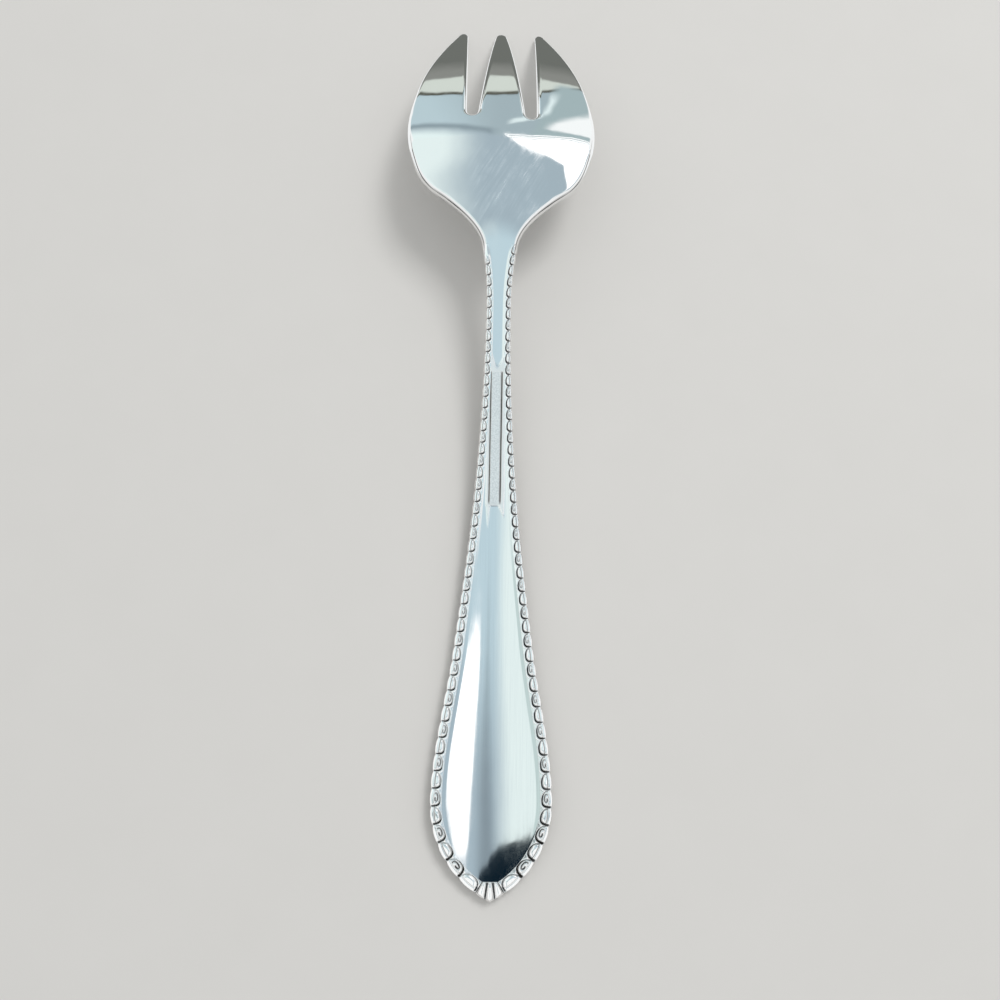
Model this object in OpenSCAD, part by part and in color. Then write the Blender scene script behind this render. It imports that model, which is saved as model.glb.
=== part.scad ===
// Cold meat fork lying on its face with its back upward: a broad head with three tines,
// a slender stem and a leaf-shaped handle, edged all round with a border of beads.
// X runs across the fork, Y along it toward the tines, Z up from the surface it rests on.

/* [Lengths along the fork] */
// Handle, from its pointed tip to the slender stem
handle_len = 80; // [66:1:110]
// Stem, from the handle to the shoulders of the head
stem_len = 57; // [48:1:80]
// Bowl of the head, from the shoulders to the tines
bowl_len = 32; // [30:1:45]
// Tines, from the bowl to their tips
tine_len = 41; // [30:1:55]

/* [Side profile] */
// Slope at the tip of the handle, in degrees
tip_slope = -2.8; // [-6:0.1:-1]
// Slope where the handle meets the stem, in degrees
stem_slope = 6; // [2:0.1:10]
// Slope where the stem meets the bowl, in degrees
neck_slope = 17.5; // [12:0.1:22]
// Slope where the bowl meets the tines, in degrees
root_slope = -12; // [-18:0.1:-6]
// Slope at the tips of the tines, in degrees
tine_slope = -35; // [-42:0.1:-28]

/* [Outline] */
// Width of the handle at its widest place
handle_w = 24.2; // [18:0.2:32]
// Distance of the widest place from the tip of the handle
handle_wide_at = 18.4; // [16:0.2:26]
// Width halfway between the widest place and the stem
handle_mid_w = 16.4; // [13:0.2:17.8]
// Width where the handle meets the stem
handle_neck_w = 9.6; // [8:0.1:12]
// Width of the stem at its narrowest place
stem_w = 5.7; // [5:0.05:7.5]
// Distance of the narrowest place from the handle
stem_narrow_at = 44; // [36:1:46]
// Width where the stem meets the bowl
neck_w = 8; // [7:0.1:10]
// Width across the shoulders of the bowl
shoulder_w = 24.8; // [20:0.2:28]
// Distance of the shoulders from the stem
shoulder_at = 10.4; // [8:0.2:11.4]
// Width across the cheeks of the bowl
cheek_w = 31.4; // [29:0.2:36]
// Distance of the cheeks from the stem
cheek_at = 13; // [12:0.2:17]
// Width of the bowl across its flanks, shortly before its widest place
flank_w = 40.6; // [38:0.2:41.4]
// Distance of the flanks from the stem
flank_at = 22.6; // [19:0.2:25]
// Width of the bowl at its widest place
bowl_w = 42.8; // [42:0.2:50]
// Distance of the widest place of the bowl from the stem
bowl_wide_at = 31; // [27:0.2:35]

/* [Tines] */
// Width across the tines where their outer edges turn straight
tines_w = 39.6; // [36:0.2:41]
// Distance of that place from the bowl
tines_straight_at = 11.4; // [8:0.2:16]
// Width across the tips of the outer tines
tips_w = 20.2; // [19.6:0.2:26]
// Distance between the outer walls of the two slots at the tips
slot_span = 16.8; // [16:0.1:18.4]
// Distance between the outer walls of the two slots at their roots
slot_root_span = 16.1; // [14.6:0.1:17.6]
// Width of each slot at its round root
slot_root_w = 2.7; // [2:0.1:4.2]
// Length over which the root of each slot is round
slot_root_len = 2; // [1:0.1:4]
// Width of the middle tine at its tip
middle_tip_w = 2.3; // [1.8:0.1:4.4]
// Distance of the left slot's root from the bowl
left_root_at = 0.8; // [0:0.1:3]
// Distance of the right slot's root from the bowl
right_root_at = 0; // [0:0.1:3]
// Length over which each tine tip is rounded
tip_round = 2; // [0.8:0.1:2.5]

/* [Metal] */
// Thickness of the handle
handle_t = 2; // [1.4:0.1:3]
// Thickness of the stem at its narrowest place
stem_t = 3; // [2:0.1:4]
// Thickness of the bowl
bowl_t = 2.2; // [1.4:0.1:3]
// Thickness of the tines at their tips
tine_tip_t = 1.3; // [0.8:0.1:2]
// Rounding of the edges of the head
edge_round = 0.9; // [0.4:0.1:1]
// Rise of the edges above the middle of the hollow handle, at its widest place
handle_hollow = 1.45; // [0:0.05:2]
// Rise of the edges halfway between the widest place and the stem
mid_hollow = 1; // [0:0.05:1.6]
// Rise of the edges where the handle meets the stem
stem_hollow = 0.3; // [0:0.05:0.8]
// Fall of the edges below the middle of the domed bowl
bowl_dish = 3; // [0:0.1:5]

/* [Bead border] */
// Beads along each edge
bead_count = 49; // [30:1:60]
// How many times longer the beads are at the tip than at the neck
bead_growth = 1.7; // [1:0.05:2]
// Share by which the first bead beside the shell is longer still
lead_growth = 0.1; // [0:0.05:0.6]
// Width of the border at the tip of the handle
border_tip_w = 2.5; // [1.8:0.1:3]
// Width of the border at the neck
border_neck_w = 1.45; // [1:0.05:1.8]
// Height of the beads above the field of the handle
bead_relief = 0.4; // [0.2:0.05:0.7]
// Depth of the groove between the field and the beads
bead_groove = 0.2; // [0.1:0.05:0.4]
// Depth of the notches between beads along the outer edge
bead_notch = 0.18; // [0:0.02:0.4]
// Thickness of the border at the outer edge of the handle
border_edge_t = 1.3; // [0.8:0.1:1.8]
// Length along each edge of the fluted shell at the tip
shell_len = 3.3; // [2.4:0.1:4.5]
// Flutes in the shell
shell_flutes = 3; // [3:2:7]

/* [Hidden] */
metal = "silver";

// Places along the fork, measured along its curved middle from the tip of the handle
stem_s = handle_len;
narrow_s = stem_s + stem_narrow_at;
neck_s = stem_s + stem_len;
root_s = neck_s + bowl_len;
end_s = root_s + tine_len;
mid_s = (handle_wide_at + stem_s) / 2;

// Arcs of the side profile: their lengths and the slopes at their ends
arc_lens = [handle_len, stem_len, bowl_len, tine_len];
slopes = [tip_slope, stem_slope, neck_slope, root_slope, tine_slope];
last_arc = len(arc_lens) - 1;

// Half widths of the outline from the widest place of the handle to the tines
outline = [
    [handle_wide_at, handle_w / 2],
    [mid_s, handle_mid_w / 2],
    [stem_s, handle_neck_w / 2],
    [narrow_s, stem_w / 2],
    [neck_s, neck_w / 2],
    [neck_s + shoulder_at, shoulder_w / 2],
    [neck_s + cheek_at, cheek_w / 2],
    [neck_s + flank_at, flank_w / 2],
    [neck_s + bowl_wide_at, bowl_w / 2],
    [root_s + tines_straight_at, tines_w / 2],
    [end_s, tips_w / 2]
];

// Radius of the two arcs that meet in the pointed tip of the handle
tip_arc_r = (pow(handle_w / 2, 2) + pow(handle_wide_at, 2)) / handle_w;

// Thickness of the metal and rise of the edges above the middle, along the fork
thickness_run = [
    [mid_s, handle_t],
    [narrow_s, stem_t],
    [neck_s + cheek_at, bowl_t],
    [root_s, bowl_t],
    [end_s, tine_tip_t]
];
bow_run = [
    [handle_wide_at, handle_hollow],
    [mid_s, mid_hollow],
    [stem_s, stem_hollow],
    [narrow_s, 0],
    [neck_s, 0],
    [neck_s + flank_at, -bowl_dish],
    [end_s, 0]
];

// Steps of the curved surfaces
field_steps = 6;
bowl_steps = 18;
bowl_cross_steps = 12;
tine_cross_steps = 4;
round_steps = 2;
round_turn = 72;
slot_steps = 10;
tine_steps = 7;
tip_steps = 4;
bead_steps = 4;
flute_steps = 6;
edge_steps = 400;
slope_step = 0.05;

// Places across the border, as shares of the way from its wall to its outer edge: the groove that bends
// round each bead, at the bead's middle and at its ends, then the crown of the bead, a line and the rim
groove_at = 0.18;
groove_end_at = 0.6;
line_at = 0.7;
rim_at = 0.86;
crown_share = 0.55;

// Heights of the line and the rim above the groove, as shares of the height of a bead
line_share = 0.4;
rim_share = 0.7;

// Beads over which their growth toward the tip fades, and over which the longer first one does
growth_fade = 19;
lead_fade = 1.2;

// Fullness of a bead along its length, and the dimple in every other one
lobe_fullness = 0.6;
scroll_dimple = 0.5;
scroll_sharpness = 4;

// Smallest rounding of an edge, and the largest share of a half width that a rounding takes
least_round = 0.02;
round_share = 0.8;

// Share of its width and thickness that a tine keeps at its very tip
tip_blunt = 0.4;

// Slope of a run of stations at one of them, limited so that the run never overshoots
function secant(run, i) = (run[i + 1][1] - run[i][1]) / (run[i + 1][0] - run[i][0]);
function blended(d0, d1, h0, h1) =
    d0 * d1 <= 0 ? 0 : sign(d0) * min(abs(d0 * h1 + d1 * h0) / (h0 + h1), 2 * min(abs(d0), abs(d1)));
function station_slope(run, i) =
    i == 0 ? 0
    : i == len(run) - 1 ? secant(run, i - 1)
    : blended(secant(run, i - 1), secant(run, i), run[i][0] - run[i - 1][0], run[i + 1][0] - run[i][0]);

// Smooth value of a run of stations at a place along the fork
function span_of(run, s, i = 0) = i >= len(run) - 2 || s < run[i + 1][0] ? i : span_of(run, s, i + 1);
function cubic(a, b, ma, mb, h, u) =
    a * (1 + 2 * u) * pow(1 - u, 2) + b * u * u * (3 - 2 * u) + h * u * (1 - u) * (ma * (1 - u) - mb * u);
function flow(run, s) =
    s <= run[0][0] ? run[0][1]
    : let (i = span_of(run, s), a = run[i], b = run[i + 1], h = b[0] - a[0])
        cubic(a[1], b[1], station_slope(run, i), station_slope(run, i + 1), h, (s - a[0]) / h);

// Half width of the outline: two arcs that meet in a point, then the smooth stations
function tip_arc(d) = handle_w / 2 - tip_arc_r + sqrt(pow(tip_arc_r, 2) - d * d);
function half_width(s) = s < handle_wide_at ? tip_arc(handle_wide_at - s) : flow(outline, s);
function edge_lean(s) =
    s < narrow_s ? atan((half_width(s + slope_step) - half_width(s - slope_step)) / (2 * slope_step)) : 0;

// Middle line of the side profile, as a chain of arcs: distance along, height and slope
function chord(d, turn) = abs(turn) < 0.001 ? d : d * sin(turn / 2) / (turn * PI / 360);
function along_arc(k, d) =
    let (turn = (slopes[k + 1] - slopes[k]) * d / arc_lens[k], heading = slopes[k] + turn / 2)
        chord(d, turn) * [cos(heading), sin(heading)];
function arc_start(k) = k == 0 ? [0, 0] : arc_start(k - 1) + along_arc(k - 1, arc_lens[k - 1]);
arc_starts = [for (k = [0:last_arc]) arc_start(k)];
function arc_of(s, k = 0, before = 0) =
    k == last_arc || s <= before + arc_lens[k] ? [k, s - before] : arc_of(s, k + 1, before + arc_lens[k]);
function raw_line(s) =
    let (at = arc_of(s), k = at[0], d = at[1])
        concat(arc_starts[k] + along_arc(k, d), slopes[k] + (slopes[k + 1] - slopes[k]) * d / arc_lens[k]);

// Tilt that brings the tine tips and the lowest place of the handle onto one level
function below(line, t) = [line[0] + t / 2 * sin(line[2]), line[1] - t / 2 * cos(line[2])];
function rest_place(tilt) = handle_len * (tilt - tip_slope) / (stem_slope - tip_slope);
function rest_point(tilt) = below(raw_line(rest_place(tilt)), handle_t);
tine_point = below(raw_line(end_s), tine_tip_t);
function settled(tilt) = let (d = tine_point - rest_point(tilt)) atan2(d[1], d[0]);
tilt = settled(settled(0));

// Middle line with the fork at rest, its length centred on the origin
function turned(p) = [p[0] * cos(tilt) + p[1] * sin(tilt), p[1] * cos(tilt) - p[0] * sin(tilt)];
rest_z = turned(rest_point(tilt))[1];
centre_y = turned(raw_line(end_s))[0] / 2;
function middle_line(s) =
    let (line = raw_line(s), p = turned(line))
        [p[0] - centre_y, p[1] - rest_z, line[2] - tilt];

// Metal at a place on the fork: thickness and bow across the width
function thickness(s) = flow(thickness_run, s);
function bow(x, s) = flow(bow_run, s) * pow(x / half_width(max(s, handle_wide_at)), 2);

// Point in space for a place across the fork, along it and above its middle surface
function place(x, s, n) =
    let (line = middle_line(s), h = n + bow(x, s))
        [x, line[0] - h * sin(line[2]), line[1] + h * cos(line[2])];
function mix(a, b, u) = a + (b - a) * u;

// Closed skin through a list of rings: in each the back runs left to right, then the face right to left,
// with as many points on one as on the other
module loft(rings) {
    k = len(rings[0]);
    n = len(rings);
    sides = [
        for (j = [0:n - 2])
            for (i = [0:k - 1])
                let (a = j * k + i, b = j * k + (i + 1) % k)
                    each [[a, a + k, b + k], [a, b + k, b]]
    ];
    start = [
        for (i = [0:k / 2 - 2])
            each [[i, i + 1, k - 2 - i], [i, k - 2 - i, k - 1 - i]]
    ];
    end = [for (face = start) [for (i = [2:-1:0]) (n - 1) * k + face[i]]];
    polyhedron(points = [for (ring = rings) each ring], faces = concat(start, sides, end));
}

// Lengths along the edge of the handle, from its tip, with the place along the fork of each
edge_table = [
    for (
        i = 0, run = 0;
        i <= edge_steps;
        run = run + norm([neck_s / edge_steps, half_width(neck_s * (i + 1) / edge_steps)
            - half_width(neck_s * i / edge_steps)]), i = i + 1
    )
        [run, neck_s * i / edge_steps]
];
border_len = edge_table[edge_steps][0] - shell_len;

// Places of the notches between beads, which are farther apart toward the tip
function bead_weight(j) =
    (1 + (bead_growth - 1) * exp(-j / growth_fade)) * (1 + lead_growth * exp(-j / lead_fade));
bead_runs = [for (j = 0, run = 0; j <= bead_count; run = run + bead_weight(j), j = j + 1) run];
notches = [for (run = bead_runs) lookup(shell_len + border_len * run / bead_runs[bead_count], edge_table)];
stem_notch = len([for (s = notches) if (s < stem_s) s]);

// Border in the flat: its inner wall and its outer edge at a place along the fork
function border_w(s) = mix(border_tip_w, border_neck_w, s / neck_s);
function outer_edge(s, inset) = [half_width(s) - inset * cos(edge_lean(s)), s + inset * sin(edge_lean(s))];
function inner_wall(s) = outer_edge(s, border_w(s));
function wall_point(j, side) =
    let (p = inner_wall(notches[j]))
        place(p[0], p[1], side * thickness(p[1]) / 2);

// Height share of a bead along its length: plain eggs alternate with dimpled scrolls
function lobe(u) = pow(sin(180 * u), lobe_fullness);
function bead_height(j, u) =
    lobe(u) * (j % 2 == 0 ? 1 : 1 - scroll_dimple * pow(sin(180 * u), scroll_sharpness));

// Profiles across the border: places from wall to edge, with the share of a bead's height at each
function bead_profile(height, swell) =
    let (groove = mix(groove_end_at, groove_at, swell), crown = mix(groove, line_at, crown_share))
        [[groove, 0], [crown, height], [line_at, line_share], [rim_at, rim_share]];
function flute_profile(height) =
    let (crown = mix(groove_at, line_at, crown_share))
        [[groove_at, 0], [crown, height], [line_at, height], [rim_at, height * rim_share]];

// One face of the border between its wall and its edge, for one ring
function strip_face(inner, outer, profile, side) = [
    for (step = profile)
        let (p = mix(inner, outer, step[0]), bottom = thickness(p[1]) / 2 - bead_groove)
            place(p[0], p[1], side * (bottom + (bead_relief + bead_groove) * step[1])),
    place(outer[0], outer[1], side * border_edge_t / 2 * thickness(outer[1]) / handle_t)
];
function backward(list) = [for (i = [len(list) - 1:-1:0]) list[i]];
function strip_ring(wall_back, wall_face, inner, outer, profile) =
    concat(
        [wall_back],
        strip_face(inner, outer, profile, 1),
        backward(strip_face(inner, outer, profile, -1)),
        [wall_face]
    );

// Ring of the right border at a share of the way along one bead
function border_ring(j, u) =
    let (k = min(j + 1, bead_count), s = mix(notches[j], notches[k], u))
        strip_ring(
            mix(wall_point(j, 1), wall_point(k, 1), u),
            mix(wall_point(j, -1), wall_point(k, -1), u),
            inner_wall(s),
            outer_edge(s, bead_notch * (1 - lobe(u))),
            bead_profile(bead_height(j, u), lobe(u))
        );
module right_border() {
    color(metal)
        loft([
            for (j = [0:bead_count - 1])
                for (i = [0:bead_steps - 1])
                    border_ring(j, i / bead_steps),
            border_ring(bead_count, 0)
        ]);
}
module left_border() {
    mirror([1, 0, 0])
        right_border();
}

// Fan of flutes round the pointed tip, from the left border to the right one
function shell_ring(v) =
    let (
        s = lookup(abs(v) * shell_len, edge_table),
        flute = (v + 1) / 2 * shell_flutes,
        height = lobe(flute - floor(flute)),
        wall = inner_wall(notches[0]),
        edge = outer_edge(s, abs(v) * bead_notch * (1 - height)),
        inner = [wall[0] * v, wall[1]]
    )
        strip_ring(
            place(inner[0], inner[1], thickness(inner[1]) / 2),
            place(inner[0], inner[1], -thickness(inner[1]) / 2),
            inner,
            [edge[0] * sign(v), edge[1]],
            flute_profile(height)
        );
module tip_shell() {
    steps = shell_flutes * flute_steps;
    color(metal)
        loft([for (i = [0:steps]) shell_ring(2 * i / steps - 1)]);
}

// Field of the handle and stem between the borders, from one notch to another
function field_face(half, s, side) =
    [for (i = [0:field_steps]) place(half * (2 * i / field_steps - 1), s, side * thickness(s) / 2)];
function field_ring(j) =
    let (p = inner_wall(notches[j]))
        concat(field_face(p[0], p[1], 1), backward(field_face(p[0], p[1], -1)));
module field(first, last) {
    color(metal)
        loft([for (j = [first:last]) field_ring(j)]);
}
module handle() {
    field(0, stem_notch);
}
module stem() {
    field(stem_notch, bead_count);
}

// Section of the head between two edges, each with its own rounding round a narrow flat
function section_face(s, left, right, left_round, right_round, steps, n) = [
    for (i = [round_steps:-1:1])
        let (turn = round_turn * i / round_steps)
            place(left + left_round * (1 - sin(turn) / sin(round_turn)), s, n * cos(turn)),
    for (i = [0:steps])
        place(mix(left + left_round, right - right_round, i / steps), s, n),
    for (i = [1:round_steps])
        let (turn = round_turn * i / round_steps)
            place(right - right_round * (1 - sin(turn) / sin(round_turn)), s, n * cos(turn))
];
function section(s, left, right, left_round, right_round, steps, t) =
    concat(
        section_face(s, left, right, left_round, right_round, steps, t / 2),
        backward(section_face(s, left, right, left_round, right_round, steps, -t / 2))
    );
module bowl() {
    color(metal)
        loft([
            for (i = [0:bowl_steps])
                let (s = mix(neck_s, root_s, i / bowl_steps), half = half_width(s))
                    section(s, -half, half, edge_round, edge_round, bowl_cross_steps, thickness(s))
        ]);
}

// Walls of a slot with a round root: across the fork, at a distance past that root
slot_r = slot_root_w / 2;
slot_x = slot_root_span / 2 - slot_r;
function slot_half(d) =
    d <= 0 ? 0 : d >= slot_root_len ? slot_r : slot_r * sqrt(1 - pow(1 - d / slot_root_len, 2));
function past_root(s, root) = max(0, (s - root - slot_root_len) / (end_s - root - slot_root_len));
function slot_outer(s, root) =
    slot_x + slot_half(s - root) + (slot_span - slot_root_span) / 2 * past_root(s, root);
function slot_inner(s, root) =
    mix(slot_x - slot_half(s - root), middle_tip_w / 2, past_root(s, root));
function slot_edge(s, root) = max(min(edge_round, slot_half(s - root)), least_round);
left_root = root_s + left_root_at;
right_root = root_s + right_root_at;

// Places of the rings of a tine: close together round the slot roots and at the tip
slot_zone = max(left_root, right_root) + slot_root_len;
tip_zone = end_s - tip_round;
tine_places = [
    for (i = [0:slot_steps]) mix(root_s, slot_zone, i / slot_steps),
    for (i = [1:tine_steps]) mix(slot_zone, tip_zone, i / tine_steps),
    for (i = [1:tip_steps]) tip_zone + tip_round * sin(90 * i / tip_steps)
];
function tip_share(s) =
    s <= tip_zone ? 1 : tip_blunt + (1 - tip_blunt) * sqrt(max(0, 1 - pow((s - tip_zone) / tip_round, 2)));
function tine_ring(s, left, right, left_round, right_round) =
    let (share = tip_share(s), centre = (left + right) / 2, half = (right - left) / 2 * share)
        section(
            s,
            centre - half,
            centre + half,
            min(left_round, half * round_share),
            min(right_round, half * round_share),
            tine_cross_steps,
            thickness(s) * share
        );
module outer_tine(root) {
    color(metal)
        loft([
            for (s = tine_places)
                tine_ring(s, slot_outer(s, root), half_width(s), slot_edge(s, root), edge_round)
        ]);
}
module left_tine() {
    mirror([1, 0, 0])
        outer_tine(left_root);
}
module middle_tine() {
    color(metal)
        loft([
            for (s = tine_places)
                tine_ring(
                    s,
                    -slot_inner(s, left_root),
                    slot_inner(s, right_root),
                    slot_edge(s, left_root),
                    slot_edge(s, right_root)
                )
        ]);
}
module right_tine() {
    outer_tine(right_root);
}

tip_shell();
handle();
left_border();
right_border();
stem();
bowl();
left_tine();
middle_tine();
right_tine();
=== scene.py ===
"""Looks of a cold meat fork: a polished, stamped fork that lies on its face with its back upward."""
import math

import bpy
import numpy as np
from mathutils import Matrix, Vector


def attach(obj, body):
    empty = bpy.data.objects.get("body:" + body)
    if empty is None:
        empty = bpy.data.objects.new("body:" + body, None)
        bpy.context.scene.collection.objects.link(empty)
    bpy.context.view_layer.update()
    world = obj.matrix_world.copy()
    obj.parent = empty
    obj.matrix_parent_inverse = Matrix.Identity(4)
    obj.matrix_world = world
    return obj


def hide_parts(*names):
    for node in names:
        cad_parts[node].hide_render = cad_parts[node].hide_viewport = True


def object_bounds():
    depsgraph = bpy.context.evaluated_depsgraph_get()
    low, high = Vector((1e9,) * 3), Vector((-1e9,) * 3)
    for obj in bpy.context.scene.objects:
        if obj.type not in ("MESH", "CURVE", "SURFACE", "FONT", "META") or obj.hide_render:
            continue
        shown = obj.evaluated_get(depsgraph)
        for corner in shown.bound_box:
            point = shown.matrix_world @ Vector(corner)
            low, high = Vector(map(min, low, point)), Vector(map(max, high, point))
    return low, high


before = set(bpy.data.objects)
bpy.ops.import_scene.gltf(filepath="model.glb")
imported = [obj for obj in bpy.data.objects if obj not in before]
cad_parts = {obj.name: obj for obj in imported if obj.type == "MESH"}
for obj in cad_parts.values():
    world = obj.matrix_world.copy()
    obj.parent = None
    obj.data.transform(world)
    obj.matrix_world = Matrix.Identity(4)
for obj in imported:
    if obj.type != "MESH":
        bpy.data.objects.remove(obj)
cad_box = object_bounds()

# Sizes of the fork in millimetres, as its solids have them; the scene itself is in metres
MM = 0.001
BOX_LOW = np.array(cad_box[0]) / MM
BOX_HIGH = np.array(cad_box[1]) / MM
HANDLE_LEN = 80.0
STEM_LEN = 57.0
BOWL_LEN = 32.0
TINE_LEN = 41.0
SLOPES = np.radians([-2.8, 6.0, 17.5, -12.0, -35.0])
HANDLE_W = 24.2
HANDLE_WIDE_AT = 18.4
HANDLE_MID_W = 16.4
HANDLE_NECK_W = 9.6
STEM_W = 5.7
STEM_NARROW_AT = 44.0
NECK_W = 8.0
SHOULDER_W = 24.8
SHOULDER_AT = 10.4
CHEEK_W = 31.4
CHEEK_AT = 13.0
FLANK_W = 40.6
FLANK_AT = 22.6
BOWL_W = 42.8
BOWL_WIDE_AT = 31.0
TINES_W = 39.6
TINES_STRAIGHT_AT = 11.4
TIPS_W = 20.2
SLOT_SPAN = 16.8
SLOT_ROOT_SPAN = 16.1
SLOT_ROOT_W = 2.7
SLOT_ROOT_LEN = 2.0
MIDDLE_TIP_W = 2.3
LEFT_ROOT_AT = 0.8
RIGHT_ROOT_AT = 0.0
TIP_ROUND = 2.0
HANDLE_T = 2.0
STEM_T = 3.0
BOWL_T = 2.2
TINE_TIP_T = 1.3
HANDLE_HOLLOW = 1.45
MID_HOLLOW = 1.0
STEM_HOLLOW = 0.3
BOWL_DISH = 3.0
BEAD_COUNT = 49
BEAD_GROWTH = 1.7
GROWTH_FADE = 19.0
LEAD_GROWTH = 0.1
LEAD_FADE = 1.2
BORDER_TIP_W = 2.5
BORDER_NECK_W = 1.45
BORDER_EDGE_T = 1.3
BEAD_RELIEF = 0.46
BEAD_GROOVE = 0.22
BEAD_NOTCH = 0.28
SHELL_LEN = 3.3
SHELL_FLUTES = 3

# Places along the curved middle of the fork, from the tip of the handle
STEM_S = HANDLE_LEN
NARROW_S = STEM_S + STEM_NARROW_AT
NECK_S = STEM_S + STEM_LEN
ROOT_S = NECK_S + BOWL_LEN
END_S = ROOT_S + TINE_LEN
MID_S = (HANDLE_WIDE_AT + STEM_S) / 2

OUTLINE = np.array([
    [HANDLE_WIDE_AT, HANDLE_W / 2],
    [MID_S, HANDLE_MID_W / 2],
    [STEM_S, HANDLE_NECK_W / 2],
    [NARROW_S, STEM_W / 2],
    [NECK_S, NECK_W / 2],
    [NECK_S + SHOULDER_AT, SHOULDER_W / 2],
    [NECK_S + CHEEK_AT, CHEEK_W / 2],
    [NECK_S + FLANK_AT, FLANK_W / 2],
    [NECK_S + BOWL_WIDE_AT, BOWL_W / 2],
    [ROOT_S + TINES_STRAIGHT_AT, TINES_W / 2],
    [END_S, TIPS_W / 2],
])
THICKNESS_RUN = np.array([
    [MID_S, HANDLE_T],
    [NARROW_S, STEM_T],
    [NECK_S + CHEEK_AT, BOWL_T],
    [ROOT_S, BOWL_T],
    [END_S, TINE_TIP_T],
])
BOW_RUN = np.array([
    [HANDLE_WIDE_AT, HANDLE_HOLLOW],
    [MID_S, MID_HOLLOW],
    [STEM_S, STEM_HOLLOW],
    [NARROW_S, 0.0],
    [NECK_S, 0.0],
    [NECK_S + FLANK_AT, -BOWL_DISH],
    [END_S, 0.0],
])
TIP_ARC_R = ((HANDLE_W / 2) ** 2 + HANDLE_WIDE_AT ** 2) / HANDLE_W
ARC_LENS = np.array([HANDLE_LEN, STEM_LEN, BOWL_LEN, TINE_LEN])
ARC_STOPS = np.concatenate([[0.0], np.cumsum(ARC_LENS)])


# Form of the fork

def flow(run, s):
    """Smooth value through a run of stations, which it never overshoots."""
    x, y = run[:, 0], run[:, 1]
    h = np.diff(x)
    d = np.diff(y) / h
    slope = np.zeros(len(x))
    slope[-1] = d[-1]
    blended = np.abs(d[:-1] * h[1:] + d[1:] * h[:-1]) / (h[:-1] + h[1:])
    limit = 2 * np.minimum(np.abs(d[:-1]), np.abs(d[1:]))
    slope[1:-1] = np.where(d[:-1] * d[1:] <= 0, 0, np.sign(d[:-1]) * np.minimum(blended, limit))
    s = np.asarray(s, float)
    i = np.clip(np.searchsorted(x, s, side="right") - 1, 0, len(x) - 2)
    u = np.maximum(s - x[i], 0) / h[i]
    level = y[i] * (1 + 2 * u) * (1 - u) ** 2 + y[i + 1] * u * u * (3 - 2 * u)
    return level + h[i] * u * (1 - u) * (slope[i] * (1 - u) - slope[i + 1] * u)


def half_width(s):
    """Half width of the outline: two arcs that meet in a point, then the smooth stations."""
    s = np.asarray(s, float)
    d = np.clip(HANDLE_WIDE_AT - s, 0, None)
    tip = HANDLE_W / 2 - TIP_ARC_R + np.sqrt(TIP_ARC_R ** 2 - d * d)
    return np.where(s < HANDLE_WIDE_AT, tip, flow(OUTLINE, np.maximum(s, HANDLE_WIDE_AT)))


def thickness(s):
    return flow(THICKNESS_RUN, s)


def arc_turn(k, d):
    """Change of slope over a distance on arc k."""
    return (SLOPES[k + 1] - SLOPES[k]) * d / ARC_LENS[k]


def along_arc(k, d):
    """Distance along and height gained on arc k of the side profile."""
    turn = arc_turn(k, d)
    chord = d * np.sinc(turn / 2 / np.pi)
    return chord * np.cos(SLOPES[k] + turn / 2), chord * np.sin(SLOPES[k] + turn / 2)


ARC_STARTS = [(0.0, 0.0)]
for arc, arc_len in enumerate(ARC_LENS[:-1]):
    gain = along_arc(arc, arc_len)
    ARC_STARTS.append((ARC_STARTS[-1][0] + gain[0], ARC_STARTS[-1][1] + gain[1]))
ARC_STARTS = np.array(ARC_STARTS)


def raw_line(s):
    """Middle line of the side profile as a chain of arcs: distance along, height and slope."""
    s = np.asarray(s, float)
    k = np.clip(np.searchsorted(ARC_STOPS, s, side="left") - 1, 0, len(ARC_LENS) - 1)
    d = s - ARC_STOPS[k]
    y, z = along_arc(k, d)
    return ARC_STARTS[k, 0] + y, ARC_STARTS[k, 1] + z, SLOPES[k] + arc_turn(k, d)


def below(s, t):
    """Point at half a thickness under the middle line."""
    y, z, a = raw_line(s)
    return y + t / 2 * np.sin(a), z - t / 2 * np.cos(a)


def rest_point(tilt):
    """Lowest point of the handle when the fork is tilted."""
    return below(HANDLE_LEN * (tilt - SLOPES[0]) / (SLOPES[1] - SLOPES[0]), HANDLE_T)


# Tilt at which the tine tips and the handle both touch the table
TILT_PASSES = 2
TILT = 0.0
for _ in range(TILT_PASSES):
    tine_y, tine_z = below(END_S, TINE_TIP_T)
    low_y, low_z = rest_point(TILT)
    TILT = math.atan2(tine_z - low_z, tine_y - low_y)


def turned(y, z):
    """Place along and height, once the fork is tilted to rest."""
    return y * math.cos(TILT) + z * math.sin(TILT), z * math.cos(TILT) - y * math.sin(TILT)


REST_Z = turned(*rest_point(TILT))[1]
CENTRE_Y = turned(*raw_line(END_S)[:2])[0] / 2


def middle_line(s):
    """Middle line with the fork at rest, its length centred on the origin."""
    y, z, a = raw_line(s)
    y, z = turned(y, z)
    return y - CENTRE_Y, z - REST_Z, a - TILT


def place(x, s, n):
    """Point in space for a place across the fork, along it and above its middle surface."""
    y, z, a = middle_line(s)
    h = n + flow(BOW_RUN, s) * (x / half_width(np.maximum(s, HANDLE_WIDE_AT))) ** 2
    return np.stack(np.broadcast_arrays(x, y - h * np.sin(a), z + h * np.cos(a)), -1)


def mix(a, b, u):
    return a + (b - a) * u


def ramp(low, high, x):
    """Soft step from 0 to 1 between two values."""
    u = np.clip((x - low) / (high - low), 0, 1)
    return u * u * (3 - 2 * u)


def bell(x, width):
    return np.exp(-(x / width) ** 2)


# Meshes from closed rings, in which the back's points come first, then the face's in reverse
THIN_END = 0.15


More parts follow.
